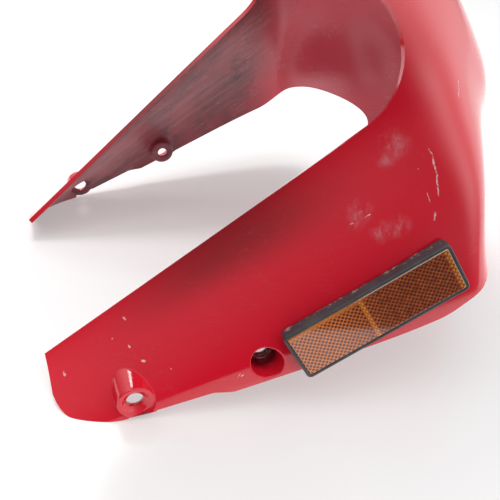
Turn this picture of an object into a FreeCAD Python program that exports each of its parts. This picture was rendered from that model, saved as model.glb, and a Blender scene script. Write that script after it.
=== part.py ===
import FreeCAD, Part
import math
import os

Vec = FreeCAD.Vector

# Front fender of a motorcycle, lying as it rests: on its two wing tips and its rear rim.
# Lengths are millimetres, angles are degrees. The form is laid out about the wheel axle:
# an angle of 0 points to the rear rim, and angles grow over the crown towards the nose.

# Shell
wall = 3.0
crown_radius = 350.0
axle_drop = 26.3
nose_angle = 85.0
nose_corner_angle = 76.0
nose_edge_radius = 300.0
nose_corner_round = 25.0

# Blade over the wheel: a round section that eases from its nose form to its rear form
nose_half = 97.0
nose_depth = 58.0
rear_half = 82.0
rear_depth = 75.0
rear_sink = 10.0
rear_start_angle = 30.0
rear_ease_angle = 13.0
nose_taper = 0.22
nose_taper_start = 40.0
nose_taper_span = 50.0
rear_taper = 0.3
rear_taper_start = 17.0
rear_taper_span = 15.0

# Wings: half widths at their two edges, and the depths at which they flare out of the blade
top_edge_half = 56.0
top_edge_flare = 0.1343
low_edge_half = 101.8
low_edge_flare = 0.158
flare_end_radius = 236.0
flare_end_bend = 14.0
wing_bulge = 0.9
wing_top_bend = 0.07
flare_start_depth = 19.0
flare_depth = 56.0

# Side outline of a wing, places measured from the axle
wing_top_angle = 36.1
wing_low_angle = 16.13
wing_corner_round = 40.0
tip_radius = 66.3
tip_heel = 48.6
tip_heel_round = 15.0
tip_toe = 83.0
tip_toe_round = 40.0
lobe_radius = 135.0
lobe_rise = 1.7
lobe_step = 2.0
lobe_length = 9.0
lobe_round = 4.0

# Fork leg notch behind each wing
notch_front = (242.0, 70.3)
notch_front_round = 40.0
notch_crest = (277.0, 93.3)
notch_crest_round = 22.0
notch_rear = (298.0, 92.3)
notch_rear_round = 17.0
notch_foot = 306.0

# Fork bolt boss near the wing tip
boss_place = (92.2, 37.2)
boss_rise = 3.5
boss_face_radius = 8.5
boss_foot_radius = 14.0
boss_height = 11.0
boss_dish_depth = 1.8
boss_dish_radius = 7.0
boss_bore = 8.5
boss_seat_radius = 7.0

# Fork bolt cup further up the wing
cup_place = (155.2, 53.2)
cup_radius = 7.75
cup_floor_radius = 6.0
cup_depth = 11.0
cup_wall = 2.2
cup_bore = 6.5

# Side reflector, on the near wing only
reflector_place = (204.5, 79.7)
reflector_standoff = 5.26
reflector_slope = 27.8
reflector_lean = 12.0
reflector_yaw = 4.6
reflector_length = 87.0
reflector_height = 27.0
reflector_round = 2.5
reflector_lip = 1.6
lens_thickness = 1.8
lens_recess = 0.4
lens_gap = 0.1
pad_thickness = 0.7
pad_gap = 0.25
pad_inset = 2.5

# How finely the formed surface is drawn
angle_steps = 27
width_steps = 64
inner_radius = 45.0
angle_margin = 5.0
small_step = 0.01

table_height = 0.0
side_reach = 2.0 * crown_radius
rear_reach = math.sqrt((crown_radius - rear_sink) ** 2 - axle_drop ** 2)
nose_reach = crown_radius * math.cos(math.radians(nose_angle))
axle_x = -0.5 * (rear_reach + nose_reach)
axle_z = table_height - axle_drop


def smooth(share):
    """Ease a share from 0 to 1 with flat, softly curved ends."""
    share = min(max(share, 0.0), 1.0)
    return share ** 3 * (10.0 - 15.0 * share + 6.0 * share ** 2)


def ramp(value, width):
    """Zero below nought and the value itself well above it, with a soft bend in between."""
    return width * math.log1p(math.exp(value / width))


def rear_share(angle):
    """How far the blade's section has eased from the nose form (0) to the rear form (1)."""
    return smooth((rear_start_angle - angle) / rear_ease_angle)


def crown_at(angle):
    """Radius of the crown line: it sinks a little towards the rear rim."""
    return crown_radius - rear_sink * rear_share(angle)


def wing_half(angle, radius):
    """Half width of a wing's own surface: it fans out from the axle and bulges between its edges."""
    top = top_edge_half + top_edge_flare * radius
    low = low_edge_half + low_edge_flare * (radius - ramp(radius - flare_end_radius, flare_end_bend))
    share = ramp((wing_top_angle - angle) / (wing_top_angle - wing_low_angle), wing_top_bend)
    return top + (low - top) * ((1.0 + wing_bulge) * share - wing_bulge * share ** 2)


def skin_half(angle, radius):
    """Half width of the skin: the blade's rounded section, flaring out to the wing."""
    eased = rear_share(angle)
    blade_half = nose_half + (rear_half - nose_half) * eased
    blade_depth = nose_depth + (rear_depth - nose_depth) * eased
    depth = max(crown_at(angle) - radius, 0.0)
    blade = blade_half * math.sqrt(1.0 - math.exp(-2.0 * depth / blade_depth))
    flare = smooth((depth - flare_start_depth) / flare_depth)
    nose = max(angle - nose_taper_start, 0.0) / nose_taper_span
    rear = max(rear_taper_start - angle, 0.0) / rear_taper_span
    half = blade + (wing_half(angle, radius) - blade) * flare
    return half * (1.0 - nose_taper * nose ** 2) * (1.0 - rear_taper * rear ** 2)


def about_axle(radius, angle):
    """Side view place of a radius and angle about the axle."""
    turn = math.radians(angle)
    return (axle_x + radius * math.cos(turn), axle_z + radius * math.sin(turn))


def from_axle(place):
    """Side view place of an offset from the axle."""
    return (axle_x + place[0], axle_z + place[1])


def skin_point(angle, across):
    """Point of the outer skin: across runs from -1 at one wing through 0 at the crown to 1."""
    crown = crown_at(angle)
    radius = crown - (crown - inner_radius) * across ** 2
    half = skin_half(angle, radius)
    x, z = about_axle(radius, angle)
    return Vec(x, math.copysign(half, across), z)


def offset_point(angle, across, offset):
    """Skin point moved along the outward normal."""
    along = skin_point(angle + small_step, across) - skin_point(angle - small_step, across)
    over = skin_point(angle, across + small_step) - skin_point(angle, across - small_step)
    normal = over.cross(along)
    normal.normalize()
    return skin_point(angle, across) + normal * offset


def skin_volume(offset):
    """Solid under the skin, bounded by the skin moved outwards by offset."""
    angle_end = nose_angle + angle_margin
    rows = []
    for i in range(angle_steps + 1):
        angle = angle_end * i / angle_steps
        row = [offset_point(angle, 2.0 * j / width_steps - 1.0, offset) for j in range(width_steps + 1)]
        rows.append(row)
    skin = Part.BSplineSurface()
    skin.interpolate(rows)
    face = skin.toShape()
    first = skin.uIso(0.0).toShape()
    last = skin.uIso(1.0).toShape()
    near = skin.vIso(0.0).toShape()
    far = skin.vIso(1.0).toShape()
    ends = [Part.makeRuledSurface(near, far)]
    for edge, row in ((first, rows[0]), (last, rows[-1])):
        ends.append(Part.makeFilledFace([edge, Part.makeLine(row[0], row[-1])]))
    shell = Part.makeShell([face] + ends)
    shell.sewShape()
    return Part.makeSolid(shell)


def rounded_wire(corners):
    """Closed side view wire through corners (x, z, radius), each rounded by its radius."""
    count = len(corners)
    places = [Vec(c[0], 0.0, c[1]) for c in corners]
    reach = []
    for i in range(count):
        back = (places[i - 1] - places[i]).normalize()
        ahead = (places[(i + 1) % count] - places[i]).normalize()
        half_turn = 0.5 * back.getAngle(ahead)
        reach.append(corners[i][2] / math.tan(half_turn))
    for i in range(count):
        after = (i + 1) % count
        length = 0.98 * (places[after] - places[i]).Length
        if reach[i] + reach[after] > length:
            scale = length / (reach[i] + reach[after])
            reach[i] = reach[i] * scale
            reach[after] = reach[after] * scale
    edges = []
    starts = []
    stops = []
    for i in range(count):
        back = (places[i - 1] - places[i]).normalize()
        ahead = (places[(i + 1) % count] - places[i]).normalize()
        start = places[i] + back * reach[i]
        stop = places[i] + ahead * reach[i]
        starts.append(start)
        stops.append(stop)
        if reach[i] > 0.0:
            half_turn = 0.5 * back.getAngle(ahead)
            radius = reach[i] * math.tan(half_turn)
            middle = (back + ahead).normalize()
            top = places[i] + middle * (radius / math.sin(half_turn) - radius)
            edges.append((i, Part.Arc(start, top, stop).toShape()))
    run = []
    arcs = dict(edges)
    for i in range(count):
        if i in arcs:
            run.append(arcs[i])
        after = (i + 1) % count
        run.append(Part.makeLine(stops[i], starts[after]))
    return Part.Wire(run)


def side_prism():
    """Everything inside the fender's side outline: nose, wing, notch and rear rim."""
    arc_start = wing_top_angle + math.degrees(wing_corner_round / nose_edge_radius)
    arc_half = 0.5 * (nose_corner_angle - arc_start)
    arc_corner = about_axle(nose_edge_radius / math.cos(math.radians(arc_half)), arc_start + arc_half)
    corner_lift = math.radians(arc_start - wing_top_angle)
    wing_corner = about_axle(nose_edge_radius / math.cos(corner_lift), wing_top_angle)
    nose_corner = about_axle(nose_edge_radius, nose_corner_angle + angle_margin)
    nose_end = about_axle(crown_radius, nose_angle)
    nose_out = (nose_end[0] + nose_end[0] - nose_corner[0], nose_end[1] + nose_end[1] - nose_corner[1])
    tip = about_axle(tip_radius, wing_top_angle)
    heel = (axle_x + tip_heel, table_height)
    toe = (axle_x + tip_toe, table_height)
    lobe_in = about_axle(lobe_radius, wing_low_angle + math.degrees(lobe_rise / lobe_radius))
    lobe_out = about_axle(lobe_radius + lobe_length, wing_low_angle - math.degrees(lobe_step / lobe_radius))
    front = from_axle(notch_front)
    crest = from_axle(notch_crest)
    rear = from_axle(notch_rear)
    foot = (axle_x + notch_foot, table_height)
    corners = [
        (nose_out[0], nose_out[1], 0.0),
        (nose_corner[0], nose_corner[1], nose_corner_round),
        (arc_corner[0], arc_corner[1], nose_edge_radius),
        (wing_corner[0], wing_corner[1], wing_corner_round),
        (tip[0], tip[1], 0.0),
        (heel[0], heel[1], tip_heel_round),
        (toe[0], toe[1], tip_toe_round),
        (lobe_in[0], lobe_in[1], lobe_round),
        (lobe_out[0], lobe_out[1], lobe_round),
        (front[0], front[1], notch_front_round),
        (crest[0], crest[1], notch_crest_round),
        (rear[0], rear[1], notch_rear_round),
        (foot[0], foot[1], 0.0),
        (axle_x + side_reach, table_height, 0.0),
        (axle_x + side_reach, nose_out[1], 0.0),
    ]
    face = Part.Face(rounded_wire(corners))
    face.translate(Vec(0.0, -side_reach, 0.0))
    return face.extrude(Vec(0.0, 2.0 * side_reach, 0.0))


def side_cone(place, half, side, outer, inner, height):
    """Cone on one side: its outer radius at the half width, its inner radius height further in."""
    x, z = from_axle(place)
    inward = Vec(0.0, -side, 0.0)
    if outer == inner:
        return Part.makeCylinder(outer, height, Vec(x, side * half, z), inward)
    return Part.makeCone(outer, inner, height, Vec(x, side * half, z), inward)


def make_shell(skin, cavity, outline):
    """The moulded shell: skin less cavity inside the outline, with bosses and cups on both wings."""
    shell = skin.common(outline).cut(cavity)
    boss_face_half = half_at(boss_place) + boss_rise
    cup_half = half_at(cup_place)
    over = 2.0 * wall
    for side in (-1.0, 1.0):
        boss = side_cone(boss_place, boss_face_half, side, boss_face_radius, boss_foot_radius, boss_height)
        dish = side_cone(boss_place, boss_face_half, side, boss_dish_radius, boss_bore / 2, boss_dish_depth)
        bore = side_cone(boss_place, boss_face_half + over, side, boss_bore / 2, boss_bore / 2,
                         boss_height + 3.0 * over)
        rim = side_cone(boss_place, boss_face_half + over, side, boss_dish_radius, boss_dish_radius, over)
        seat_depth = boss_dish_depth + wall
        pad = side_cone(boss_place, boss_face_half, side, boss_face_radius, boss_face_radius, seat_depth)
        seat = side_cone(boss_place, boss_face_half - seat_depth, side, boss_seat_radius, boss_seat_radius,
                         boss_height + over)
        boss = boss.common(outline).cut(cavity).fuse(pad)
        shell = shell.fuse(boss).cut(dish.fuse(bore).fuse(rim).fuse(seat))
        floor = cup_half - cup_depth
        draft = (cup_radius - cup_floor_radius) / cup_depth
        mouth = cup_radius + over * draft
        back = cup_floor_radius - cup_wall * draft
        tube = side_cone(cup_place, cup_half + over, side, mouth + cup_wall, back + cup_wall,
                         over + cup_depth + cup_wall)
        recess = side_cone(cup_place, cup_half + over, side, mouth, cup_floor_radius, over + cup_depth)
        hole = side_cone(cup_place, floor + over, side, cup_bore / 2, cup_bore / 2, 2 * over)
        shell = shell.fuse(tube.common(skin)).cut(recess.fuse(hole))
    return shell.removeSplitter()


def half_at(place):
    """Half width of the skin at an offset from the axle."""
    radius = math.hypot(place[0], place[1])
    angle = math.degrees(math.atan2(place[1], place[0]))
    return skin_half(angle, radius)


def reflector_slab(length, height, rounding, front, back):
    """Rounded slab in the reflector's own place, between two depths below its front face."""
    corners = []
    for sx, sz in ((1, 1), (1, -1), (-1, -1), (-1, 1)):
        corners.append((0.5 * sx * length, 0.5 * sz * height, rounding))
    slab = Part.Face(rounded_wire(corners))
    slab.translate(Vec(0.0, front, 0.0))
    slab = slab.extrude(Vec(0.0, back - front, 0.0))
    slab.rotate(Vec(0, 0, 0), Vec(0, 0, 1), -reflector_yaw)
    slab.rotate(Vec(0, 0, 0), Vec(1, 0, 0), -reflector_lean)
    slab.rotate(Vec(0, 0, 0), Vec(0, 1, 0), -reflector_slope)
    x, z = from_axle(reflector_place)
    slab.translate(Vec(x, -half_at(reflector_place) - reflector_standoff, z))
    return slab


def make_reflector(outline):
    """Housing, lens and adhesive pad: the housing's back follows the wing over the pad."""
    pad_back = skin_volume(pad_gap)
    pad_front = skin_volume(pad_gap + pad_thickness)
    housing_back = skin_volume(2.0 * pad_gap + pad_thickness)
    pocket_depth = lens_recess + lens_thickness
    depth = 3.0 * reflector_round + reflector_height
    housing = reflector_slab(reflector_length, reflector_height, reflector_round, 0.0, depth)
    inner_length = reflector_length - 2.0 * reflector_lip
    inner_height = reflector_height - 2.0 * reflector_lip
    inner_round = max(reflector_round - reflector_lip, 0.3)
    pocket = reflector_slab(inner_length, inner_height, inner_round, -wall, pocket_depth)
    housing = housing.cut(housing_back).cut(pocket)
    lens = reflector_slab(inner_length - 2.0 * lens_gap, inner_height - 2.0 * lens_gap, inner_round,
                          lens_recess, pocket_depth)
    pad = reflector_slab(reflector_length - 2.0 * pad_inset, reflector_height - 2.0 * pad_inset,
                         reflector_round, pocket_depth, depth)
    pad = pad.common(pad_front).cut(pad_back).common(outline)
    return housing, lens, pad


def main():
    os.makedirs("parts", exist_ok=True)
    skin = skin_volume(0.0)
    cavity = skin_volume(-wall)
    outline = side_prism()
    shell = make_shell(skin, cavity, outline)
    housing, lens, pad = make_reflector(outline)
    nodes = {
        "fender_shell": shell,
        "reflector_housing": housing,
        "reflector_lens": lens,
        "reflector_pad": pad,
    }
    for name, shape in nodes.items():
        box = shape.BoundBox
        print(name, shape.isValid(), len(shape.Solids), round(shape.Volume), box)
        shape.exportStep("parts/" + name + ".step")


main()
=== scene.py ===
import math

import bmesh
import bpy
import numpy as np
from mathutils import Matrix, Vector


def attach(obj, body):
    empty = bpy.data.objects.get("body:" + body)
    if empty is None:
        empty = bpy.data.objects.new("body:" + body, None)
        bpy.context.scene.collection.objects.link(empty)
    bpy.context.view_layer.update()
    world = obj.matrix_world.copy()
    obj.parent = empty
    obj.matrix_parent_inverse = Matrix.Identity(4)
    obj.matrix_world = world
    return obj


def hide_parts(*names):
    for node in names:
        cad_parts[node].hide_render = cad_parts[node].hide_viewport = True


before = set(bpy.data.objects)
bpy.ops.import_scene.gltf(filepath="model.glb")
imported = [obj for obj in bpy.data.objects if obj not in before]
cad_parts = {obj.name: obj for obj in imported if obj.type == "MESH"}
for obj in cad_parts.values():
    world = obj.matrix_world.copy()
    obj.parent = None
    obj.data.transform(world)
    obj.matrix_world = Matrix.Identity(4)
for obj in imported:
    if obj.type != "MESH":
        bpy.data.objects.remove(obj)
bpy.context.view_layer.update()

# A red motorcycle front fender lies on a white table, on its wing tips and its rear rim.
# Lengths are millimetres and angles are degrees about the wheel axle, as in the part's source;
# meshes are put down in metres.

MM = 0.001

# Shell
wall = 3.0
crown_radius = 350.0
axle_drop = 26.3
nose_angle = 85.0
nose_corner_angle = 76.0
nose_edge_radius = 300.0
nose_corner_round = 25.0
nose_corner_bow = 0.45  # a little under a half, so that the corner's own quad keeps a bend
angle_margin = 5.0
rim_round = 0.9
rim_bend = 50.0

# Blade over the wheel
nose_half = 97.0
nose_depth = 58.0
rear_half = 82.0
rear_depth = 75.0
rear_sink = 10.0
rear_start_angle = 30.0
rear_ease_angle = 13.0
nose_taper = 0.22
nose_taper_start = 40.0
nose_taper_span = 50.0
rear_taper = 0.3
rear_taper_start = 17.0
rear_taper_span = 15.0

# Wings
top_edge_half = 56.0
top_edge_flare = 0.1343
low_edge_half = 101.8
low_edge_flare = 0.158
flare_end_radius = 236.0
flare_end_bend = 14.0
wing_bulge = 0.9
wing_top_bend = 0.07
flare_start_depth = 19.0
flare_depth = 56.0

# Side outline of a wing and of the notch behind it
wing_top_angle = 36.1
wing_low_angle = 16.13
wing_corner_round = 40.0
tip_radius = 66.3
tip_heel = 48.6
tip_heel_round = 15.0
tip_toe = 83.0
tip_toe_round = 40.0
lobe_radius = 135.0
lobe_rise = 1.7
lobe_step = 2.0
lobe_length = 9.0
lobe_round = 4.0
notch_front = (242.0, 70.3)
notch_front_round = 40.0
notch_crest = (277.0, 93.3)
notch_crest_round = 22.0
notch_rear = (298.0, 92.3)
notch_rear_round = 17.0
notch_foot = 306.0

# Bolt boss and bolt cup
boss_place = (92.2, 37.2)
boss_rise = 3.5
boss_face_radius = 8.5
boss_foot_step = 1.0
boss_dish_depth = 1.8
boss_dish_radius = 7.0
boss_bore = 8.5
boss_seat_radius = 7.0
cup_place = (155.2, 53.2)
cup_radius = 7.75
cup_floor_radius = 6.0
cup_depth = 11.0
cup_wall = 2.2
cup_bore = 6.5

# Side reflector
reflector_place = (204.5, 79.7)
reflector_standoff = 5.26
reflector_slope = 27.8
reflector_lean = 12.0
reflector_yaw = 4.6
reflector_length = 87.0
reflector_height = 27.0
reflector_round = 2.5
reflector_lip = 1.6
lens_thickness = 1.8
lens_recess = 0.4
lens_gap = 0.1
prism_pitch = 1.75
housing_gap = 1.2

rear_reach = math.sqrt((crown_radius - rear_sink) ** 2 - axle_drop ** 2)
nose_reach = crown_radius * math.cos(math.radians(nose_angle))
axle_x = -0.5 * (rear_reach + nose_reach)
axle_z = -axle_drop


# The formed skin

def ease(share):
    """A share eased from 0 to 1: ten cubes less fifteen fourth powers plus six fifth powers."""
    share = np.clip(share, 0.0, 1.0)
    return share ** 3 * (10.0 - 15.0 * share + 6.0 * share ** 2)


def ramp(value, width):
    """Nought below nought and the value above it, with a soft bend of the given width between."""
    return width * np.logaddexp(0.0, value / width)


def rear_share(angle):
    """How far the blade has eased from its nose section to its rear section."""
    return ease((rear_start_angle - angle) / rear_ease_angle)


def crown_at(angle):
    """Radius of the crown line, which sinks a little towards the rear rim."""
    return crown_radius - rear_sink * rear_share(angle)


def wing_half(angle, radius):
    """Half width of a wing: straight along each ray, and a parabola from its top to its low edge."""
    top = top_edge_half + top_edge_flare * radius
    low = low_edge_half + low_edge_flare * (radius - ramp(radius - flare_end_radius, flare_end_bend))
    share = ramp((wing_top_angle - angle) / (wing_top_angle - wing_low_angle), wing_top_bend)
    return top + (low - top) * ((1.0 + wing_bulge) * share - wing_bulge * share ** 2)


def skin_half(angle, radius):
    """Half width of the skin: the blade's round section, eased over to the wing with depth."""
    eased = rear_share(angle)
    blade_half = nose_half + (rear_half - nose_half) * eased
    blade_depth = nose_depth + (rear_depth - nose_depth) * eased
    depth = np.maximum(crown_at(angle) - radius, 0.0)
    blade = blade_half * np.sqrt(1.0 - np.exp(-2.0 * depth / blade_depth))
    flare = ease((depth - flare_start_depth) / flare_depth)
    nose = np.maximum(angle - nose_taper_start, 0.0) / nose_taper_span
    rear = np.maximum(rear_taper_start - angle, 0.0) / rear_taper_span
    half = blade + (wing_half(angle, radius) - blade) * flare
    return half * (1.0 - nose_taper * nose ** 2) * (1.0 - rear_taper * rear ** 2)


def polar(x, z):
    """Angle and radius about the axle of side view places measured from it."""
    return np.degrees(np.arctan2(z, x)), np.hypot(x, z)


def half_at(x, z):
    """Half width of the skin at side view places measured from the axle."""
    return skin_half(*polar(x, z))


def wall_at(x, z):
    """The wall measured straight across at a place: thicker where the skin slopes."""
    step = 0.05
    along = (half_at(x + step, z) - half_at(x - step, z)) / (2.0 * step)
    up = (half_at(x, z + step) - half_at(x, z - step)) / (2.0 * step)
    return wall * np.sqrt(1.0 + along ** 2 + up ** 2)


def skin_places(angle, depth):
    """Points of the far skin at angles about the axle and depths below the crown line."""
    radius = crown_at(angle) - depth
    turn = np.radians(angle)
    across = skin_half(angle, radius)
    return np.stack([axle_x + radius * np.cos(turn), across, axle_z + radius * np.sin(turn)], axis=-1)


# The side outline

def unit(vectors):
    """Vectors scaled to length one."""
    return vectors / np.linalg.norm(vectors, axis=-1, keepdims=True)


def rounded(corners, points=13):
    """Each corner (x, z, radius) of a closed outline becomes an arc that touches both its sides."""
    table = np.array(corners)
    places = table[:, :2]
    back = unit(np.roll(places, 1, axis=0) - places)
    ahead = unit(np.roll(places, -1, axis=0) - places)
    half_turn = 0.5 * np.arccos(np.sum(back * ahead, axis=1))
    reach = table[:, 2] / np.tan(half_turn)
    room = 0.98 * np.linalg.norm(np.roll(places, -1, axis=0) - places, axis=1)
    for first in range(len(places)):
        after = (first + 1) % len(places)
        both = reach[first] + reach[after]
        if both > room[first]:
            reach[first] *= room[first] / both
            reach[after] *= room[first] / both
    radius = (reach * np.tan(half_turn))[:, None, None]
    middle = unit(back + ahead)[:, None, :]
    side = unit(back - ahead)[:, None, :]
    centre = places[:, None, :] + middle * radius / np.sin(half_turn)[:, None, None]
    swing = (0.5 * np.pi - half_turn)[:, None, None] * np.linspace(1.0, -1.0, points)[None, :, None]
    return centre + radius * (side * np.sin(swing) - middle * np.cos(swing))


def about_axle(radius, angle):
    """Side view place of a radius and angle about the axle."""
    return radius * math.cos(math.radians(angle)), radius * math.sin(math.radians(angle))


def outline_arcs():
    """Rounded corners of the side outline by name, from the nose down the wing to the rear foot."""
    arc_start = wing_top_angle + math.degrees(wing_corner_round / nose_edge_radius)
    lift = math.radians(arc_start - wing_top_angle)
    lobe_lift = math.degrees(lobe_rise / lobe_radius)
    lobe_turn = math.degrees(lobe_step / lobe_radius)
    corners = {
        "over": (*about_axle(nose_edge_radius, arc_start), 0.0),
        "wing": (*about_axle(nose_edge_radius / math.cos(lift), wing_top_angle), wing_corner_round),
        "tip": (*about_axle(tip_radius, wing_top_angle), 0.0),
        "heel": (tip_heel, axle_drop, tip_heel_round),
        "toe": (tip_toe, axle_drop, tip_toe_round),
        "lobe_in": (*about_axle(lobe_radius, wing_low_angle + lobe_lift), lobe_round),
        "lobe_out": (*about_axle(lobe_radius + lobe_length, wing_low_angle - lobe_turn), lobe_round),
        "front": (*notch_front, notch_front_round),
        "crest": (*notch_crest, notch_crest_round),
        "rear": (*notch_rear, notch_rear_round),
        "foot": (notch_foot, axle_drop, 0.0),
        "beyond": (2.0 * crown_radius, crown_radius, 0.0),
    }
    return dict(zip(corners, rounded(list(corners.values()))))


def resample(path, count):
    """A path walked again in even steps."""
    steps = np.linalg.norm(np.diff(path, axis=0), axis=1)
    walked = np.concatenate([[0.0], np.cumsum(steps)])
    even = np.linspace(0.0, walked[-1], count)
    return np.stack([np.interp(even, walked, path[:, 0]), np.interp(even, walked, path[:, 1])], axis=1)


def depth_path(path):
    """A side view path as angles about the axle and depths below the crown line."""
    angle, radius = polar(path[:, 0], path[:, 1])
    return np.stack([angle, crown_at(angle) - radius], axis=1)


# Meshes

def grid_quads(rows, columns, start=0):
    """Corner numbers of the quads of a grid."""
    index = start + np.arange(rows * columns).reshape(rows, columns)
    quads = np.stack([index[:-1, :-1], index[:-1, 1:], index[1:, 1:], index[1:, :-1]], axis=-1)
    return quads.reshape(-1, 4)


def new_piece(name, points, quads, slots=None, merge=2e-6):
    """Mesh object of points in millimetres and quads, merged where its grids meet, smooth shaded."""
    mesh = bpy.data.meshes.new(name)
    mesh.from_pydata((points * MM).tolist(), [], quads.tolist())
    if slots is not None:
        mesh.polygons.foreach_set("material_index", slots.astype(np.int32))
    work = bmesh.new()
    work.from_mesh(mesh)
    bmesh.ops.remove_doubles(work, verts=work.verts, dist=merge)
    for face in work.faces:
        face.smooth = True
    work.to_mesh(mesh)
    work.free()
    piece = bpy.data.objects.new(name, mesh)
    bpy.context.scene.collection.objects.link(piece)
    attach(piece, "root")
    return piece


def mirrored(blocks):
    """Points and quads of grids on the far side, and the same grids mirrored to the near side."""
    points = []
    quads = []
    start = 0
    for block in blocks:
        rows, columns = block.shape[:2]
        for side in (1.0, -1.0):
            places = block.reshape(-1, 3) * np.array([1.0, side, 1.0])
            faces = grid_quads(rows, columns, start)
            points.append(places)
            quads.append(faces if side > 0.0 else faces[:, ::-1])
            start += len(places)
    return np.concatenate(points), np.concatenate(quads)


# Grid sizes of the shell: rows run from the crown to the wing tip, columns along the wheel
crown_rows = 34
edge_rows = 14
wing_rows = 130
wing_columns = 60
nose_columns = 90
rear_columns = 30
boss_cut = 9.8
cup_cut = 9.0


def shell_blocks():
    """Three grids of the outer skin in angle and depth: wing and middle, nose, and rear.

    Rows follow the crown line at depths that grow with the square of the row, then spread to the
    outline's edges: the wing's top edge and its low edge are walked in step, and each row runs
    straight between them in angle and depth.
    """
    arcs = outline_arcs()
    middle = arcs["rear"].shape[0] // 2
    over_angle, over_depth = depth_path(arcs["over"][:1])[0]
    rear_angle, rear_edge = depth_path(arcs["rear"][middle:middle + 1])[0]

    share = np.linspace(0.0, 1.0, crown_rows)[:, None] ** 2
    top = [np.hstack([np.full_like(share, over_angle), share * rear_edge])]
    low = [np.hstack([np.full_like(share, rear_angle), share * rear_edge])]
    fall = np.linspace(rear_edge, over_depth, edge_rows)[1:, None]
    top.append(np.hstack([np.full_like(fall, over_angle), fall]))
    over_crest = np.concatenate([arcs["rear"][middle::-1], arcs["crest"][:middle - 1:-1]])
    low.append(depth_path(resample(over_crest, edge_rows))[1:])
    top_edge = np.concatenate([arcs["over"][:1], arcs["wing"], arcs["tip"][:1]])
    top.append(depth_path(resample(top_edge, wing_rows))[1:])
    low_edge = [arcs["crest"][middle::-1]]
    for name in ("front", "lobe_out", "lobe_in", "toe"):
        low_edge.append(arcs[name][::-1])
    low_edge.append(arcs["heel"][:middle - 1:-1])
    low.append(depth_path(resample(np.concatenate(low_edge), wing_rows))[1:])
    top = np.concatenate(top)
    low = np.concatenate(low)
    across = np.linspace(0.0, 1.0, wing_columns)[None, :]
    angle = low[:, :1] + (top[:, :1] - low[:, :1]) * across
    depth = low[:, 1:] + (top[:, 1:] - low[:, 1:]) * across
    wing = skin_places(angle, depth)

    levels = top[:crown_rows + edge_rows - 1, 1:]
    corner = np.array(about_axle(nose_edge_radius, nose_corner_angle + angle_margin))
    end = np.array(about_axle(crown_radius, nose_angle))
    last = polar(*(corner + (end - corner) * (1.0 - levels / over_depth)).T)[0][:, None]
    ahead = np.linspace(0.0, 1.0, nose_columns)[None, :]
    run = (last - over_angle) * np.radians(nose_edge_radius)
    inward = np.clip(1.0 + (levels - over_depth) / nose_corner_round, 0.0, 1.0)
    onward = np.clip(1.0 + (ahead - 1.0) * run / nose_corner_round, 0.0, 1.0)
    depth = levels - nose_corner_round * inward * (1.0 - np.sqrt(1.0 - nose_corner_bow * onward ** 2))
    cut = nose_corner_round * onward * (1.0 - np.sqrt(1.0 - nose_corner_bow * inward ** 2)) / run
    nose = skin_places(over_angle + (last - over_angle) * (ahead - cut), depth)

    foot = np.concatenate([arcs["rear"][middle:], arcs["foot"][:1]])
    inner = depth_path(resample(foot, rear_columns))[None, ::-1]
    rim = math.degrees(math.asin(axle_drop / (crown_radius - rear_sink)))
    outer = np.linspace(rim, rear_angle, rear_columns)[None, :]
    angle = outer + (inner[:, :, 0] - outer) * share
    rear = skin_places(angle, inner[:, :, 1] * share)
    return [wing[:, ::-1], nose[:, ::-1], rear[:, ::-1]]


def make_shell(outer_finish, inner_finish):
    """The moulded shell: the outer skin with its wall added inwards, cut off level with the table."""
    points, quads = mirrored(shell_blocks())
    centres = points[quads].mean(axis=1)
    keep = np.ones(len(quads), dtype=bool)
    for place, radius in ((boss_place, boss_cut), (cup_place, cup_cut)):
        away = np.hypot(centres[:, 0] - axle_x - place[0], centres[:, 2] - axle_z - place[1])
        keep &= away > radius
    shell = new_piece("shell", points, quads[keep])
    thicken = shell.modifiers.new("wall", "SOLIDIFY")
    thicken.thickness = wall * MM
    thicken.offset = -1.0
    thicken.material_offset = 1
    shell.data.materials.append(outer_finish)
    shell.data.materials.append(inner_finish)
    walled = bpy.data.meshes.new_from_object(shell.evaluated_get(bpy.context.evaluated_depsgraph_get()))
    places = np.empty(3 * len(walled.vertices))
    walled.vertices.foreach_get("co", places)
    places[2::3] = np.maximum(places[2::3], 0.0)
    walled.vertices.foreach_set("co", places)
    shell.modifiers.clear()
    shell.data = walled
    rim = shell.modifiers.new("rim", "BEVEL")
    rim.width = rim_round * MM
    rim.segments = 3
    rim.limit_method = "ANGLE"
    rim.angle_limit = math.radians(rim_bend)
    rim.harden_normals = True
    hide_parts("fender_shell")
    return shell


# How the bolt collars sit on the shell
proud = 0.015
edge_clear = 0.1
toe_bend = 6.0
hem = 0.03


def collar(place, rings, steps=96):
    """Rings about a bolt's axis on the far wing, kept above the wing's low edge.

    Each ring (radius, skin share, inside share, half width, limit) lies at the sum of its share of
    the outer skin, its share of the inner skin and its own half width, but no further out than its limit.
    A hem just inside each border keeps the shading of the faces even, and the last ring meets the first.
    """
    first = (rings[0][0] - hem, *rings[0][1:])
    last = (rings[-1][0] - hem, *rings[-1][1:])
    closed = [rings[0], first, *rings[1:-1], last, rings[-1], rings[0]]
    table = np.array([ring if len(ring) == 5 else (*ring, math.inf) for ring in closed])[:, None, :]
    turn = np.linspace(0.0, 2.0 * np.pi, steps)[None, :]
    x = place[0] + table[:, :, 0] * np.cos(turn)
    z = place[1] + table[:, :, 0] * np.sin(turn)
    lobe = about_axle(lobe_radius, wing_low_angle)
    slope = (lobe[1] - axle_drop) / (lobe[0] - tip_toe)
    z = np.maximum(z, axle_drop + edge_clear + slope * ramp(x - tip_toe, toe_bend))
    outside = half_at(x, z)
    inside = outside - wall_at(x, z)
    across = table[:, :, 1] * outside + table[:, :, 2] * inside + table[:, :, 3]
    return np.stack([axle_x + x, np.minimum(across, table[:, :, 4]), axle_z + z], axis=-1)


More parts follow.
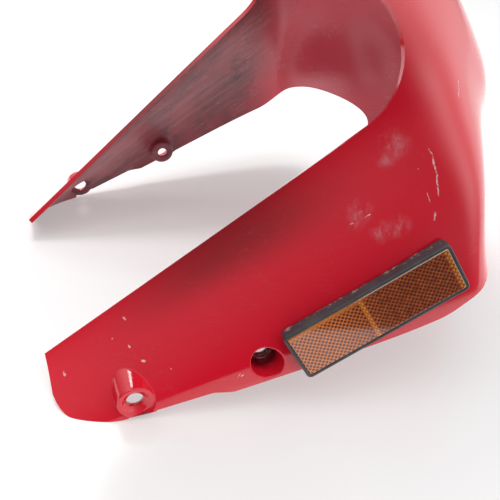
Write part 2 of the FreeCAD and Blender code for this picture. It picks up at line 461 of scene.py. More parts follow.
def boss_rings():
    """Boss profile: a cone with a soft foot and a crisp brow, a dish, the bore, and a flat seat inside."""
    face = float(half_at(*boss_place)) + boss_rise
    foot = boss_face_radius + boss_foot_step
    rings = [(foot + 1.6, 1.0, 0.0, proud), (foot + 0.8, 1.0, 0.0, proud)]
    for share in np.linspace(0.0, 1.0, 15):
        radius = foot + 0.4 + (boss_face_radius + 0.1 - foot) * share
        rise = 0.97 * (ramp(share - 0.2, 0.05) - ramp(-0.2, 0.05)) / 0.8
        rings.append((radius, 1.0 - rise, 0.0, proud * (1.0 - rise) + face * rise))
    rings += [(boss_face_radius + 0.25, 0.0, 0.0, face - 0.02), (boss_face_radius - 0.1, 0.0, 0.0, face)]
    rings += [(boss_dish_radius + 0.35, 0.0, 0.0, face), (boss_dish_radius, 0.0, 0.0, face - 0.08)]
    low = face - boss_dish_depth
    bore = 0.5 * boss_bore
    for share in (0.25, 0.5, 0.75):
        rings.append((boss_dish_radius + (bore + 0.5 - boss_dish_radius) * share, 0.0, 0.0,
                      face - 0.08 + (low - face + 0.08) * share))
    seat = low - wall
    rings += [(bore + 0.4, 0.0, 0.0, low), (bore + 0.1, 0.0, 0.0, low - 0.15), (bore, 0.0, 0.0, low - 0.5)]
    split = len(rings)
    rings += [(bore, 0.0, 0.0, seat + 0.3), (bore + 0.3, 0.0, 0.0, seat)]
    rings += [(boss_seat_radius - 0.1, 0.0, 0.0, seat), (boss_seat_radius, 0.0, 1.0, 1.5, seat)]
    rings += [(boss_seat_radius, 0.0, 1.0, 0.4, seat), (boss_seat_radius + 0.4, 0.0, 1.0, -proud, seat)]
    rings += [(boss_face_radius - 0.3, 0.0, 1.0, -proud, seat)]
    rings += [(boss_face_radius, 0.0, 1.0, -proud, seat + 0.3)]
    for radius in np.linspace(boss_face_radius + 0.1, foot + 1.6, 6):
        rings.append((radius, 0.0, 1.0, -proud))
    return rings, split


def cup_rings():
    """Cup profile: a rounded mouth, a drafted wall, a floor with its hole, and the cup's back."""
    floor = float(half_at(*cup_place)) - cup_depth
    rings = []
    for radius in np.linspace(cup_cut + 3.0, cup_radius + 1.0, 6):
        rings.append((radius, 1.0, 0.0, proud))
    lip = 0.7
    for swing in np.radians([20.0, 40.0, 60.0, 80.0, 90.0]):
        rings.append((cup_radius + lip * (1.0 - math.sin(swing)), 1.0, 0.0,
                      lip * math.cos(swing) - lip + proud))
    fillet = 1.5
    draft = cup_floor_radius - cup_radius
    for share in (0.2, 0.4, 0.6, 0.8, 1.0):
        rings.append((cup_radius + draft * share, 1.0 - share, 0.0,
                      (floor + fillet) * share - lip * (1.0 - share)))
    for swing in np.radians([20.0, 45.0, 70.0, 90.0]):
        rings.append((cup_floor_radius - fillet * (1.0 - math.cos(swing)), 0.0, 0.0,
                      floor + fillet * (1.0 - math.sin(swing))))
    hole = 0.5 * cup_bore
    back = floor - cup_wall
    rings += [(hole + 0.4, 0.0, 0.0, floor), (hole, 0.0, 0.0, floor - 0.4)]
    split = len(rings)
    rings += [(hole, 0.0, 0.0, back + 0.4), (hole + 0.4, 0.0, 0.0, back)]
    outside = cup_floor_radius + cup_wall
    for swing in np.radians([0.0, 30.0, 60.0, 90.0]):
        rings.append((outside - fillet * (1.0 - math.sin(swing)), 0.0, 0.0,
                      back + fillet * (1.0 - math.cos(swing))))
    rings += [(outside + 0.6, 0.0, 0.6, 0.4 * back), (outside + 1.3, 0.0, 1.0, -1.0)]
    rings += [(outside + 2.0, 0.0, 1.0, -0.3), (outside + 3.2, 0.0, 1.0, -proud)]
    rings += [(cup_cut + 4.5, 0.0, 1.0, -proud)]
    return rings, split


def make_collars():
    """Bolt bosses and bolt cups of both wings, set over the shell's bolt openings."""
    grids = []
    slots = []
    for place, (rings, split) in ((boss_place, boss_rings()), (cup_place, cup_rings())):
        grid = collar(place, rings)[:, ::-1]
        grids.append(grid)
        rows, columns = grid.shape[:2]
        slot = np.repeat(np.arange(rows - 1) > split, columns - 1).astype(int)
        slots += [slot, slot]
    points, quads = mirrored(grids)
    return new_piece("bolt_collars", points, quads, np.concatenate(slots))


# The reflector

def reflector_turn():
    """The reflector's own turn: yaw, then lean, then slope."""
    yaw = Matrix.Rotation(math.radians(-reflector_yaw), 3, "Z")
    lean = Matrix.Rotation(math.radians(-reflector_lean), 3, "X")
    slope = Matrix.Rotation(math.radians(-reflector_slope), 3, "Y")
    return np.array(slope @ lean @ yaw)


reflector_half = float(half_at(*reflector_place)) + reflector_standoff
reflector_centre = np.array([axle_x + reflector_place[0], -reflector_half, axle_z + reflector_place[1]])


def reflector_places(along, depth, height):
    """Points of the reflector's own length, depth and height in the fender's frame."""
    local = np.stack(np.broadcast_arrays(along, depth, height), axis=-1)
    return local @ reflector_turn().T + reflector_centre


def seat_depth(along, height, gap):
    """Depth at which a line straight into the reflector comes within a gap of the wing."""
    low = np.zeros(np.broadcast(along, height).shape)
    high = low + 40.0
    for _ in range(40):
        middle = 0.5 * (low + high)
        places = reflector_places(along, middle, height)
        x = places[..., 0] - axle_x
        z = places[..., 2] - axle_z
        clear = -places[..., 1] - half_at(x, z) - gap * wall_at(x, z) / wall
        low = np.where(clear > 0.0, middle, low)
        high = np.where(clear > 0.0, high, middle)
    return low


def plate_rings(length, height, round_radius, insets, arc_points=9, side_points=24):
    """Rounded rectangles set in by the given insets, walked round from the upper right corner."""
    half_l = 0.5 * length - round_radius
    half_h = 0.5 * height - round_radius
    swing = np.linspace(0.0, 0.5 * np.pi, arc_points)
    spread = np.linspace(1.0, -1.0, side_points)[1:-1]
    centre_x = []
    centre_z = []
    toward_x = []
    toward_z = []
    for quarter, (sx, sz) in enumerate(((1, 1), (-1, 1), (-1, -1), (1, -1))):
        centre_x.append(np.full(arc_points, sx * half_l))
        centre_z.append(np.full(arc_points, sz * half_h))
        toward_x.append(np.cos(swing + quarter * 0.5 * np.pi))
        toward_z.append(np.sin(swing + quarter * 0.5 * np.pi))
        flat = spread * (half_l if quarter % 2 == 0 else half_h)
        next_x, next_z = ((-1, 1), (-1, -1), (1, -1), (1, 1))[quarter]
        if quarter % 2 == 0:
            centre_x.append(flat * sx)
            centre_z.append(np.full(len(flat), sz * half_h))
        else:
            centre_x.append(np.full(len(flat), next_x * half_l))
            centre_z.append(flat * sz)
        toward_x.append(np.full(len(flat), math.cos((quarter + 1) * 0.5 * np.pi)))
        toward_z.append(np.full(len(flat), math.sin((quarter + 1) * 0.5 * np.pi)))
    centre_x = np.append(np.concatenate(centre_x), half_l)[None, :]
    centre_z = np.append(np.concatenate(centre_z), half_h)[None, :]
    toward_x = np.append(np.concatenate(toward_x), 1.0)[None, :]
    toward_z = np.append(np.concatenate(toward_z), 0.0)[None, :]
    reach = np.maximum(round_radius - np.array(insets)[:, None], 0.0)
    pull = np.maximum(np.array(insets)[:, None] - round_radius, 0.0)
    shrink_x = 1.0 - pull / half_l
    shrink_z = 1.0 - pull / half_h
    return centre_x * shrink_x + toward_x * reach, centre_z * shrink_z + toward_z * reach


def make_housing():
    """The reflector's housing: rings from its back, which follows the wing, over its lip to its pocket."""
    pocket = lens_recess + lens_thickness
    insets = [6.0, 0.6, 0.15, 0.0, 0.0, 0.0, 0.1, 0.3, 0.6, 1.2, 1.45, 1.58, 1.6, 1.6, 3.0]
    depths = [0.0, 0.0, -0.15, -0.5, 0.0, 0.7, 0.3, 0.08, 0.0, 0.0, 0.06, 0.2, 0.5, pocket, pocket]
    along, height = plate_rings(reflector_length, reflector_height, reflector_round, insets)
    back = seat_depth(along, height, housing_gap)
    share = np.array([1.0, 1.0, 1.0, 1.0, 0.5] + [0.0] * 10)[:, None]
    depth = back * share + np.array(depths)[:, None]
    places = reflector_places(along, depth, height)
    housing = new_piece("housing", places.reshape(-1, 3), grid_quads(*places.shape[:2]))
    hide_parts("reflector_housing")
    return housing


def make_lens():
    """The lens: rings from its foot in the pocket over its rounded edge to the middle of its face."""
    length = reflector_length - 2.0 * reflector_lip - 2.0 * lens_gap
    height = reflector_height - 2.0 * reflector_lip - 2.0 * lens_gap
    insets = [0.0, 0.0, 0.08, 0.25, 0.5, 0.8, 2.0, 4.0, 6.5, 9.0, 0.5 * height]
    foot = lens_recess + lens_thickness - 0.05
    depths = [foot, 0.5, 0.22, 0.08, 0.0, 0.0, 0.0, 0.0, 0.0, 0.0, 0.0]
    along, up = plate_rings(length, height, reflector_round - reflector_lip, insets)
    places = reflector_places(along, np.array(depths)[:, None], up)
    lens = new_piece("lens", places.reshape(-1, 3), grid_quads(*places.shape[:2]))
    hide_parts("reflector_lens")
    return lens


# Node helpers

def feed(target, source):
    """Links a socket into an input, or sets a plain value on it."""
    if isinstance(source, bpy.types.NodeSocket):
        target.id_data.links.new(source, target)
    else:
        target.default_value = source


def maths(tree, operation, first, second=0.0):
    """Output of a Math node on two values or sockets."""
    node = tree.nodes.new("ShaderNodeMath")
    node.operation = operation
    feed(node.inputs[0], first)
    feed(node.inputs[1], second)
    return node.outputs[0]


def product(tree, first, *others):
    """Product of values or sockets."""
    for other in others:
        first = maths(tree, "MULTIPLY", first, other)
    return first


def vector_maths(tree, operation, first, second=(0.0, 0.0, 0.0), output="Vector"):
    """Output of a Vector Math node on two vectors or sockets."""
    node = tree.nodes.new("ShaderNodeVectorMath")
    node.operation = operation
    feed(node.inputs[0], first)
    feed(node.inputs[1], second)
    return node.outputs[output]


def span(tree, value, low, high, first=0.0, last=1.0):
    """A value carried smoothly from one range to another, and held at its ends."""
    node = tree.nodes.new("ShaderNodeMapRange")
    node.interpolation_type = "SMOOTHSTEP"
    for name, source in (("Value", value), ("From Min", low), ("From Max", high),
                         ("To Min", first), ("To Max", last)):
        feed(node.inputs[name], source)
    return node.outputs["Result"]


def blend(tree, share, first, second):
    """Two colours mixed by a share."""
    node = tree.nodes.new("ShaderNodeMix")
    node.data_type = "RGBA"
    feed(node.inputs[0], share)
    feed(node.inputs[6], first)
    feed(node.inputs[7], second)
    return node.outputs[2]


def noise(tree, place, scale, detail=2.0, roughness=0.5, output="Fac"):
    """Output of a Noise Texture at a place."""
    node = tree.nodes.new("ShaderNodeTexNoise")
    feed(node.inputs["Vector"], place)
    feed(node.inputs["Scale"], scale)
    node.inputs["Detail"].default_value = detail
    node.inputs["Roughness"].default_value = roughness
    return node.outputs[output]


def bump(tree, height, strength, distance):
    """A normal from a height."""
    node = tree.nodes.new("ShaderNodeBump")
    node.inputs["Strength"].default_value = strength
    node.inputs["Distance"].default_value = distance
    feed(node.inputs["Height"], height)
    return node.outputs["Normal"]


def turned(tree, place, location, rotation, scale):
    """A place read in axes of its own: moved, turned and scaled back by a Mapping node."""
    node = tree.nodes.new("ShaderNodeMapping")
    node.vector_type = "TEXTURE"
    feed(node.inputs["Vector"], place)
    node.inputs["Location"].default_value = location
    node.inputs["Rotation"].default_value = rotation
    node.inputs["Scale"].default_value = scale
    return node.outputs["Vector"]


def object_place(tree):
    """Object coordinates of a piece."""
    return tree.nodes.new("ShaderNodeTexCoord").outputs["Object"]


def axes(tree, place):
    """X, Y and Z of a place."""
    node = tree.nodes.new("ShaderNodeSeparateXYZ")
    feed(node.inputs[0], place)
    return node.outputs


def largest(tree, masks):
    """The largest of several masks."""
    result = masks[0]
    for mask in masks[1:]:
        result = maths(tree, "MAXIMUM", result, mask)
    return result


# Wear that several finishes share

def new_group(name, inputs, output="Mask"):
    """A node group with named inputs and one output: its tree, its input sockets and its exit."""
    group = bpy.data.node_groups.new(name, "ShaderNodeTree")
    for label, kind, value in inputs:
        socket = group.interface.new_socket(label, in_out="INPUT", socket_type=kind)
        socket.default_value = value
    group.interface.new_socket(output, in_out="OUTPUT", socket_type="NodeSocketFloat")
    entry = group.nodes.new("NodeGroupInput")
    leave = group.nodes.new("NodeGroupOutput")
    return group, entry.outputs, leave.inputs[0]


def use_group(tree, group, **values):
    """A node group placed in a material with its own values: its mask."""
    node = tree.nodes.new("ShaderNodeGroup")
    node.node_tree = group
    for name, value in values.items():
        feed(node.inputs[name], value)
    return node.outputs["Mask"]


def scratch_group():
    """A scratch: full on the line from start to end, gone at its width, wavering and broken by noise."""
    group, given, leave = new_group("scratch", [
        ("Vector", "NodeSocketVector", (0.0, 0.0, 0.0)),
        ("Start", "NodeSocketVector", (0.0, 0.0, 0.0)),
        ("End", "NodeSocketVector", (0.0, 0.0, 0.01)),
        ("Width", "NodeSocketFloat", 0.0005),
    ])
    wander = vector_maths(group, "SUBTRACT", noise(group, given["Vector"], 220.0, 3.0, 0.6, "Color"),
                          (0.5, 0.5, 0.5))
    scaled = vector_maths(group, "MULTIPLY", wander, (0.0022, 0.0022, 0.0022))
    place = vector_maths(group, "ADD", given["Vector"], scaled)
    reach = vector_maths(group, "SUBTRACT", given["End"], given["Start"])
    away = vector_maths(group, "SUBTRACT", place, given["Start"])
    along = maths(group, "DIVIDE", vector_maths(group, "DOT_PRODUCT", away, reach, "Value"),
                  vector_maths(group, "DOT_PRODUCT", reach, reach, "Value"))
    along = maths(group, "MINIMUM", maths(group, "MAXIMUM", along, 0.0), 1.0)
    scale = group.nodes.new("ShaderNodeVectorMath")
    scale.operation = "SCALE"
    feed(scale.inputs[0], reach)
    feed(scale.inputs["Scale"], along)
    gap = vector_maths(group, "DISTANCE", away, scale.outputs[0], "Value")
    line = span(group, gap, product(group, given["Width"], 0.35), given["Width"], 1.0, 0.0)
    broken = span(group, noise(group, given["Vector"], 900.0, 3.0, 0.7), 0.36, 0.56, 0.15, 1.0)
    feed(leave, product(group, line, broken))
    return group


def haze_group():
    """A dull patch: full at its centre and gone at its reach, broken up by noise of a given grain."""
    group, given, leave = new_group("haze", [
        ("Vector", "NodeSocketVector", (0.0, 0.0, 0.0)),
        ("Centre", "NodeSocketVector", (0.0, 0.0, 0.0)),
        ("Reach", "NodeSocketFloat", 0.01),
        ("Grain", "NodeSocketFloat", 200.0),
    ])
    away = vector_maths(group, "DISTANCE", given["Vector"], given["Centre"], "Value")
    patch = span(group, maths(group, "DIVIDE", away, given["Reach"]), 0.15, 1.0, 1.0, 0.0)
    drawn = vector_maths(group, "MULTIPLY", given["Vector"], (1.0, 1.0, 0.4))
    broken = span(group, noise(group, drawn, given["Grain"], 5.0, 0.6), 0.34, 0.74)
    feed(leave, product(group, patch, broken))
    return group


def hairline_group():
    """Hairlines: narrow level lines of a noise drawn out by a stretch, in patches."""
    group, given, leave = new_group("hairlines", [
        ("Vector", "NodeSocketVector", (0.0, 0.0, 0.0)),
        ("Stretch", "NodeSocketVector", (1.0, 1.0, 1.0)),
        ("Width", "NodeSocketFloat", 0.01),
    ])
    drawn = vector_maths(group, "MULTIPLY", given["Vector"], given["Stretch"])
    level = maths(group, "ABSOLUTE", maths(group, "SUBTRACT", noise(group, drawn, 1.0, 2.0, 0.5), 0.5))
    line = span(group, level, 0.0, given["Width"], 1.0, 0.0)
    patch = span(group, noise(group, given["Vector"], 45.0, 2.0, 0.5), 0.48, 0.62)
    feed(leave, product(group, line, patch))
    return group


def dust_group():
    """Dust: cloudy noise, clear below one level and full above another."""
    group, given, leave = new_group("dust", [
        ("Vector", "NodeSocketVector", (0.0, 0.0, 0.0)),
        ("Scale", "NodeSocketFloat", 100.0),
        ("Low", "NodeSocketFloat", 0.4),
        ("High", "NodeSocketFloat", 0.7),
    ])
    cloud = noise(group, given["Vector"], given["Scale"], 6.0, 0.65)
    feed(leave, span(group, cloud, given["Low"], given["High"]))
    return group


scratch = scratch_group()
haze = haze_group()
hairlines = hairline_group()
dust = dust_group()


# Materials

def new_material(name):
    """A material with nodes: itself, its node tree and its Principled shader's inputs."""
    material = bpy.data.materials.new(name)
    material.use_nodes = True
    tree = material.node_tree
    return material, tree, tree.nodes["Principled BSDF"].inputs


def metres(places):
    """Places in millimetres as metres."""
    return tuple(MM * number for number in places)


# Scuffs on the near wing: centre, reach
scuffs = (
    ((37.0, -104.5, 121.5), 9.5),
    ((32.5, -105.5, 116.0), 6.5),
    ((19.5, -111.0, 94.0), 7.5),
    ((17.0, -112.0, 90.0), 6.0),
    ((27.0, -119.0, 86.0), 7.0),
    ((35.0, -121.0, 89.0), 7.0),
    ((31.0, -120.5, 86.5), 5.0),
)

# Scratches on the near wing and blade: start, end, width
scratches = (
    ((42.6, -106.6, 121.0), (45.0, -108.2, 120.6), 0.55),
    ((50.2, -109.8, 121.5), (52.2, -112.2, 118.0), 0.6),
    ((52.2, -112.2, 118.0), (53.2, -116.5, 109.5), 0.55),
    ((53.2, -116.5, 109.5), (53.0, -121.3, 101.0), 0.45),
    ((50.8, -123.6, 94.5), (50.2, -124.6, 91.0), 0.55),
    ((43.6, -107.2, 120.8), (46.6, -115.3, 108.2), 0.3),
    ((46.6, -115.3, 108.2), (49.9, -123.0, 95.2), 0.3),
    ((23.0, -113.9, 92.8), (14.1, -112.4, 88.3), 0.5),
    ((-123.4, -84.6, 12.0), (-122.8, -85.8, 10.6), 1.0),
    ((-97.9, -86.6, 29.4), (-97.1, -87.0, 28.4), 0.6),
    ((-91.6, -82.0, 37.6), (-89.6, -83.8, 36.0), 0.8),
    ((-91.4, -94.2, 28.8), (-90.4, -95.0, 28.0), 0.7),
    ((-86.2, -103.3, 25.2), (-84.8, -103.7, 24.6), 0.8),
    ((-74.3, -111.3, 24.6), (-73.7, -111.7, 23.8), 0.7),
    ((-51.8, -122.8, 8.7), (-41.5, -124.5, 21.8), 0.4),
    ((-50.4, -122.6, 11.8), (-42.6, -124.2, 22.4), 0.3),
    ((73.1, -90.8, 143.8), (71.1, -98.8, 136.4), 0.4),
)


# Painted shade: a deeper red along the wings' top edges, where it starts and is full, or starts to end and
# is gone:
# angles about the axle at its low and high sides, and distances from the axle at tip and root
band_low = (29.5, 34.0)
band_high = (36.5, 41.0)
band_tip = (95.0, 175.0)
band_root = (185.0, 255.0)

# Painted shade in a bolt cup: distances from its axis and depths below its mouth between which it fades
cup_shade_rim = (7.8, 9.0)
cup_shade_depth = (8.5, 3.0)


def top_edge_shade_share(tree, place):
    """How much painted shade a place gets near a wing's top edge, from its angle and distance about the
    axle.
    """
    axle = metres((axle_x, 0.0, axle_z))
    parts = axes(tree, vector_maths(tree, "SUBTRACT", place, axle))
    angle = maths(tree, "ARCTAN2", parts["Z"], parts["X"])
    near = span(tree, angle, *np.radians(band_low).tolist())
    above = span(tree, angle, *np.radians(band_high).tolist(), 1.0, 0.0)
    flat = vector_maths(tree, "MULTIPLY", place, (1.0, 0.0, 1.0))
    reach = vector_maths(tree, "DISTANCE", flat, axle, "Value")
    out = span(tree, reach, *metres(band_tip))
    root = span(tree, reach, *metres(band_root), 1.0, 0.0)
    return product(tree, near, above, out, root)


def cup_shade_share(tree, place):
    """How deep a place is in one of the bolt cups, where its floor is painted darker as shade."""
    centre = metres((axle_x + cup_place[0], 0.0, axle_z + cup_place[1]))
    flat = vector_maths(tree, "MULTIPLY", place, (1.0, 0.0, 1.0))
    within = span(tree, vector_maths(tree, "DISTANCE", flat, centre, "Value"), *metres(cup_shade_rim), 1.0, 0.0)
    mouth = float(half_at(*cup_place))
    levels = metres(mouth - depth for depth in cup_shade_depth)
    deep = span(tree, maths(tree, "ABSOLUTE", axes(tree, place)["Y"]), *levels, 1.0, 0.0)
    return product(tree, within, deep)


def make_red_gloss():
    """Outer red plastic: clear gloss with scuffs, scratches, hairlines and a faint ripple, and painted shade
    along the wings' top edges and deep in the bolt cups.
    """
    material, tree, shader = new_material("red_gloss")
    place = object_place(tree)
    cloud = noise(tree, place, 14.0, 3.0)
    dull = largest(tree, [use_group(tree, haze, Vector=place, Centre=metres(centre), Reach=reach * MM,
                                    Grain=260.0) for centre, reach in scuffs])
    cuts = largest(tree, [use_group(tree, scratch, Vector=place, Start=metres(start), End=metres(end),
                                    Width=width * MM) for start, end, width in scratches])
    fine = use_group(tree, hairlines, Vector=place, Stretch=(60.0, 90.0, 320.0), Width=0.012)
    specks = use_group(tree, dust, Vector=place, Scale=520.0, Low=0.69, High=0.74)
    marks = maths(tree, "ADD", product(tree, fine, 0.06), product(tree, specks, 0.16))
    colour = blend(tree, cloud, (0.66, 0.007, 0.023, 1.0), (0.71, 0.009, 0.029, 1.0))
    # Painted shade: a deeper red along the wings' top edges.
    colour = blend(tree, top_edge_shade_share(tree, place), colour, (0.33, 0.003, 0.011, 1.0))
    # Painted shade: a darker red deep in the bolt cups.
    colour = blend(tree, cup_shade_share(tree, place), colour, (0.17, 0.002, 0.008, 1.0))
    colour = blend(tree, marks, colour, (0.78, 0.30, 0.34, 1.0))
    colour = blend(tree, product(tree, dull, 0.5), colour, (0.60, 0.26, 0.30, 1.0))
    colour = blend(tree, product(tree, cuts, 0.9), colour, (0.88, 0.62, 0.62, 1.0))
    feed(shader["Base Color"], colour)
    worn = maths(tree, "MAXIMUM", product(tree, dull, 0.8), cuts)
    rough = maths(tree, "ADD", span(tree, cloud, 0.3, 0.7, 0.09, 0.14), product(tree, worn, 0.35))
    feed(shader["Roughness"], maths(tree, "ADD", rough, product(tree, marks, 0.5)))
    ripple = maths(tree, "ADD", noise(tree, place, 240.0, 1.0), product(tree, cuts, -1.5))
    feed(shader["Normal"], bump(tree, ripple, 0.04, 0.0006))
    shader["IOR"].default_value = 1.62
    return material


def make_red_inside():
    """Inner red plastic: satin, dusty and streaked on the wings, cleaner under the blade."""
    material, tree, shader = new_material("red_inside")
    place = object_place(tree)
    along = turned(tree, place, (0.0, 0.0, 0.0), (0.0, math.radians(-28.0), 0.0), (1.0, 1.0, 1.0))
    wing = span(tree, axes(tree, place)["X"], 0.035, 0.075, 1.0, 0.1)
    film = use_group(tree, dust, Vector=place, Scale=34.0, Low=0.30, High=0.72)
    grain = use_group(tree, dust, Vector=place, Scale=420.0, Low=0.40, High=0.78)
    streak_place = vector_maths(tree, "MULTIPLY", along, (12.0, 60.0, 190.0))
    streaks = span(tree, noise(tree, streak_place, 1.0, 4.0, 0.6), 0.48, 0.68)
    fine = use_group(tree, hairlines, Vector=along, Stretch=(35.0, 160.0, 420.0), Width=0.02)
    smudges = use_group(tree, dust, Vector=along, Scale=55.0, Low=0.56, High=0.70)
    dusty = maths(tree, "ADD", film, product(tree, grain, 0.35))
    film = product(tree, wing, span(tree, dusty, 0.1, 1.2, 0.72, 1.0))
    colour = blend(tree, film, (0.72, 0.080, 0.115, 1.0), (0.165, 0.058, 0.068, 1.0))
    colour = blend(tree, product(tree, streaks, wing, 0.4), colour, (0.32, 0.17, 0.18, 1.0))
    colour = blend(tree, product(tree, smudges, wing, 0.55), colour, (0.055, 0.022, 0.026, 1.0))
    colour = blend(tree, product(tree, fine, 0.35), colour, (0.55, 0.38, 0.38, 1.0))
    feed(shader["Base Color"], colour)
    feed(shader["Roughness"], span(tree, film, 0.0, 1.0, 0.26, 0.52))
    relief = maths(tree, "ADD", noise(tree, place, 700.0, 2.0), streaks)
    feed(shader["Normal"], bump(tree, relief, 0.10, 0.0004))
    shader["IOR"].default_value = 1.5
    return material


def reflector_axes(tree):
    """Object coordinates in the reflector's own axes, in millimetres: length, depth and height."""
    turn = Matrix(reflector_turn().tolist()).to_euler()
    return turned(tree, object_place(tree), metres(reflector_centre), tuple(turn), (MM, MM, MM))


def make_black_satin():
    """Housing: dark moulded plastic with a fine grain, grey dust and a pale crust at its upper back edge."""
    material, tree, shader = new_material("black_satin")
    place = object_place(tree)
    own = reflector_axes(tree)
    parts = axes(tree, own)
    film = use_group(tree, dust, Vector=place, Scale=90.0, Low=0.35, High=0.75)
    grains = use_group(tree, dust, Vector=place, Scale=900.0, Low=0.58, High=0.72)
    top = span(tree, parts["Z"], 12.0, 13.6)
    back = span(tree, parts["Y"], 3.6, 5.4)
    crust = use_group(tree, dust, Vector=place, Scale=330.0, Low=0.52, High=0.60)
    crust = product(tree, crust, top, back)
    colour = blend(tree, film, (0.040, 0.042, 0.047, 1.0), (0.075, 0.079, 0.086, 1.0))
    colour = blend(tree, product(tree, grains, 0.35), colour, (0.20, 0.20, 0.21, 1.0))
    colour = blend(tree, product(tree, crust, 0.4), colour, (0.72, 0.66, 0.64, 1.0))
    feed(shader["Base Color"], colour)
    feed(shader["Roughness"], span(tree, film, 0.0, 1.0, 0.38, 0.55))
    feed(shader["Normal"], bump(tree, noise(tree, place, 1500.0, 2.0), 0.25, 0.0002))
    return material


def make_amber():
    """Lens: clear amber over rows of small prisms, with a seam across it; painted highlights on the prisms
    along the seam, at its right end and in the upper rows of its left part and as a thin line along its
    upper edge, and painted light brighter towards its left end.
    """
    material, tree, shader = new_material("amber_prisms")
    own = reflector_axes(tree)
    flat = vector_maths(tree, "MULTIPLY", own, (1.0, 0.0, 1.0))
    cells = tree.nodes.new("ShaderNodeTexVoronoi")
    cells.inputs["Randomness"].default_value = 0.0
    cells.inputs["Scale"].default_value = 1.0 / prism_pitch
    slanted = turned(tree, flat, (0.3, 0.0, 0.2), (0.0, math.radians(45.0), 0.0), (1.0, 1.0, 1.0))
    feed(cells.inputs["Vector"], slanted)
    gap = cells.outputs["Distance"]
    parts = axes(tree, own)
    patchy = span(tree, noise(tree, own, 0.35, 4.0, 0.7), 0.3, 0.7)
    flicker = noise(tree, cells.outputs["Position"], 3.0, 0.0)
    # Painted highlight: the prisms along the seam, at the right end and in the upper rows of the left part
    # are drawn brighter, as lit.
    seam = span(tree, maths(tree, "ABSOLUTE", maths(tree, "ADD", parts["X"], 4.0)), 0.7, 1.1, 1.0, 0.0)
    end = span(tree, parts["X"], 38.6, 40.0)
    row = product(tree, span(tree, parts["Z"], 9.2, 11.0), span(tree, parts["X"], 4.0, -8.0))
    painted_glints = largest(tree, [seam, product(tree, end, 0.9), product(tree, row, 0.7)])
    line = span(tree, gap, 0.24, 0.52)
    dark = blend(tree, flicker, (0.045, 0.006, 0.003, 1.0), (0.13, 0.018, 0.006, 1.0))
    # Painted light: the amber is drawn brighter towards the lens's left end.
    painted_left_glow = span(tree, parts["X"], 10.0, -25.0)
    glow = blend(tree, patchy, (0.20, 0.032, 0.007, 1.0), (0.46, 0.10, 0.018, 1.0))
    glow = blend(tree, product(tree, painted_left_glow, 0.7), glow, (0.85, 0.24, 0.06, 1.0))
    colour = blend(tree, line, dark, glow)
    # Painted highlight on the prisms of the seam, the right end and the upper rows.
    lit = product(tree, painted_glints, span(tree, gap, 0.50, 0.22, 0.0, 1.0))
    colour = blend(tree, lit, colour, (0.80, 0.27, 0.030, 1.0))
    # Painted highlight: a thin pale line along the lens's upper edge.
    upper_edge_highlight = product(tree, span(tree, parts["Z"], 11.3, 11.6), span(tree, parts["X"], -10.0, 2.0))
    colour = blend(tree, product(tree, upper_edge_highlight, 0.85), colour, (0.85, 0.60, 0.52, 1.0))
    colour = blend(tree, span(tree, parts["X"], 41.3, 41.6, 0.0, 0.8), colour, (0.38, 0.42, 0.38, 1.0))
    specks = use_group(tree, dust, Vector=own, Scale=0.9, Low=0.62, High=0.72)
    colour = blend(tree, product(tree, specks, 0.3), colour, (0.55, 0.36, 0.26, 1.0))
    feed(shader["Base Color"], colour)
    feed(shader["Roughness"], span(tree, patchy, 0.0, 1.0, 0.30, 0.45))
    feed(shader["Normal"], bump(tree, gap, 0.5, 0.0006))
    shader["Specular IOR Level"].default_value = 0.15
    shader["Coat Weight"].default_value = 1.0
    shader["Coat Roughness"].default_value = 0.08
    shader["Coat IOR"].default_value = 1.7
    return material


def make_pad_foam():
    """Pad: dull dark foam tape with open pores."""
    material, tree, shader = new_material("pad_foam")
    place = object_place(tree)
    pores = use_group(tree, dust, Vector=place, Scale=1400.0, Low=0.45, High=0.65)
    feed(shader["Base Color"], blend(tree, pores, (0.10, 0.10, 0.10, 1.0), (0.035, 0.035, 0.037, 1.0)))
    feed(shader["Roughness"], span(tree, pores, 0.0, 1.0, 0.8, 0.95))
    feed(shader["Normal"], bump(tree, pores, 0.5, 0.0003))
    return material


gloss = make_red_gloss()
inside = make_red_inside()
shell = make_shell(gloss, inside)
collars = make_collars()
collars.data.materials.append(gloss)
collars.data.materials.append(inside)
housing = make_housing()
lens = make_lens()
housing.data.materials.append(make_black_satin())
lens.data.materials.append(make_amber())
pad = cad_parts["reflector_pad"]
pad.data.materials.clear()
pad.data.materials.append(make_pad_foam())


# Table, light and camera

# The table's edges in metres, its light on the fender, and its own white to the eye
table_left = -2.0
table_right = 2.5
table_front = -0.24
table_back = 3.0
table_light = 0.36
table_glow = 0.34


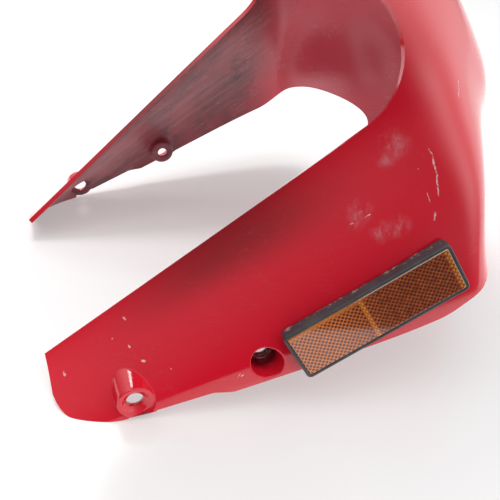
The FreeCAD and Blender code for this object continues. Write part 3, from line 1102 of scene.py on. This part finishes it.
def make_table():
    """White table top: lightly glossy, and white to the eye apart from the fender's shadow."""
    mesh = bpy.data.meshes.new("table")
    corners = [(table_left, table_front, 0.0), (table_right, table_front, 0.0),
               (table_right, table_back, 0.0), (table_left, table_back, 0.0)]
    mesh.from_pydata(corners, [], [(0, 1, 2, 3)])
    table = bpy.data.objects.new("table", mesh)
    bpy.context.scene.collection.objects.link(table)
    material, tree, shader = new_material("table_white")
    place = object_place(tree)
    feed(shader["Base Color"], blend(tree, noise(tree, place, 60.0, 4.0), (0.855, 0.855, 0.855, 1.0),
                                     (0.865, 0.865, 0.865, 1.0)))
    shader["Roughness"].default_value = 0.22
    shader["IOR"].default_value = 1.8
    glow = tree.nodes.new("ShaderNodeEmission")
    glow.inputs["Color"].default_value = (1.0, 1.0, 1.0, 1.0)
    seen = tree.nodes.new("ShaderNodeLightPath").outputs["Is Camera Ray"]
    shader["Emission Color"].default_value = (1.0, 1.0, 1.0, 1.0)
    feed(shader["Emission Strength"], product(tree, maths(tree, "SUBTRACT", 1.0, seen), table_light))
    both = tree.nodes.new("ShaderNodeMixShader")
    feed(both.inputs[0], product(tree, seen, table_glow))
    feed(both.inputs[1], tree.nodes["Principled BSDF"].outputs[0])
    feed(both.inputs[2], glow.outputs[0])
    feed(tree.nodes["Material Output"].inputs["Surface"], both.outputs[0])
    mesh.materials.append(material)


make_table()

scene = bpy.context.scene
scene.view_settings.view_transform = "Standard"


# Soft lights of the room: direction round from +X, height above the table, strength
room_lights = (
    (0.0, 90.0, 1.8),
    (120.0, 55.0, 1.0),
    (180.0, 55.0, 0.5),
    (0.0, 55.0, 0.3),
    (90.0, 22.0, 0.8),
    (265.0, 62.0, 0.9),
    (315.0, 22.0, 2.0),
    (0.0, 22.0, 0.1),
    (8.0, 0.0, 1.6),
    (135.0, 22.0, 0.3),
    (225.0, 22.0, 0.15),
)


def make_room():
    """Room: white to the eye; its light is a sum of soft lobes, each the eighth power of a cosine."""
    world = bpy.data.worlds.new("room")
    scene.world = world
    world.use_nodes = True
    tree = world.node_tree
    toward = tree.nodes.new("ShaderNodeTexCoord").outputs["Generated"]
    total = None
    for around, height, strength in room_lights:
        flat = math.cos(math.radians(height))
        aim = (flat * math.cos(math.radians(around)), flat * math.sin(math.radians(around)),
               math.sin(math.radians(height)))
        lobe = maths(tree, "MAXIMUM", vector_maths(tree, "DOT_PRODUCT", toward, aim, "Value"), 0.0)
        lobe = product(tree, maths(tree, "POWER", lobe, 8.0), strength)
        total = lobe if total is None else maths(tree, "ADD", total, lobe)
    ray = tree.nodes.new("ShaderNodeLightPath")
    plain = maths(tree, "MAXIMUM", ray.outputs["Is Camera Ray"], ray.outputs["Is Transmission Ray"])
    background = tree.nodes["Background"].inputs
    background["Color"].default_value = (1.0, 1.0, 1.0, 1.0)
    hidden = maths(tree, "SUBTRACT", 1.0, plain)
    feed(background["Strength"], maths(tree, "MAXIMUM", product(tree, total, hidden), plain))


make_room()


def make_lamp(name, place, aim, width, height, power):
    """Soft rectangular lamp at a place, turned towards an aim."""
    data = bpy.data.lights.new(name, "AREA")
    data.shape = "RECTANGLE"
    data.size = width
    data.size_y = height
    data.energy = power
    lamp = bpy.data.objects.new(name, data)
    scene.collection.objects.link(lamp)
    lamp.location = place
    lamp.rotation_euler = (Vector(aim) - Vector(place)).to_track_quat("-Z", "Y").to_euler()


make_lamp("window", (-0.05, 0.80, 1.35), (-0.03, 0.0, 0.05), 0.5, 0.36, 10.0)

# The photo's camera: place, and its right and up directions
camera_place = (-0.11374, -0.35766, 0.258)
camera_right = Vector((0.9511, -0.3089, 0.0))
camera_up = Vector((0.1724, 0.5310, 0.8297))

camera_data = bpy.data.cameras.new("camera")
camera_data.lens = 50.4
camera_data.sensor_width = 36.0
camera = bpy.data.objects.new("camera", camera_data)
scene.collection.objects.link(camera)
turn = Matrix((camera_right, camera_up, camera_right.cross(camera_up))).transposed()
camera.matrix_world = Matrix.Translation(camera_place) @ turn.to_4x4()
scene.camera = camera
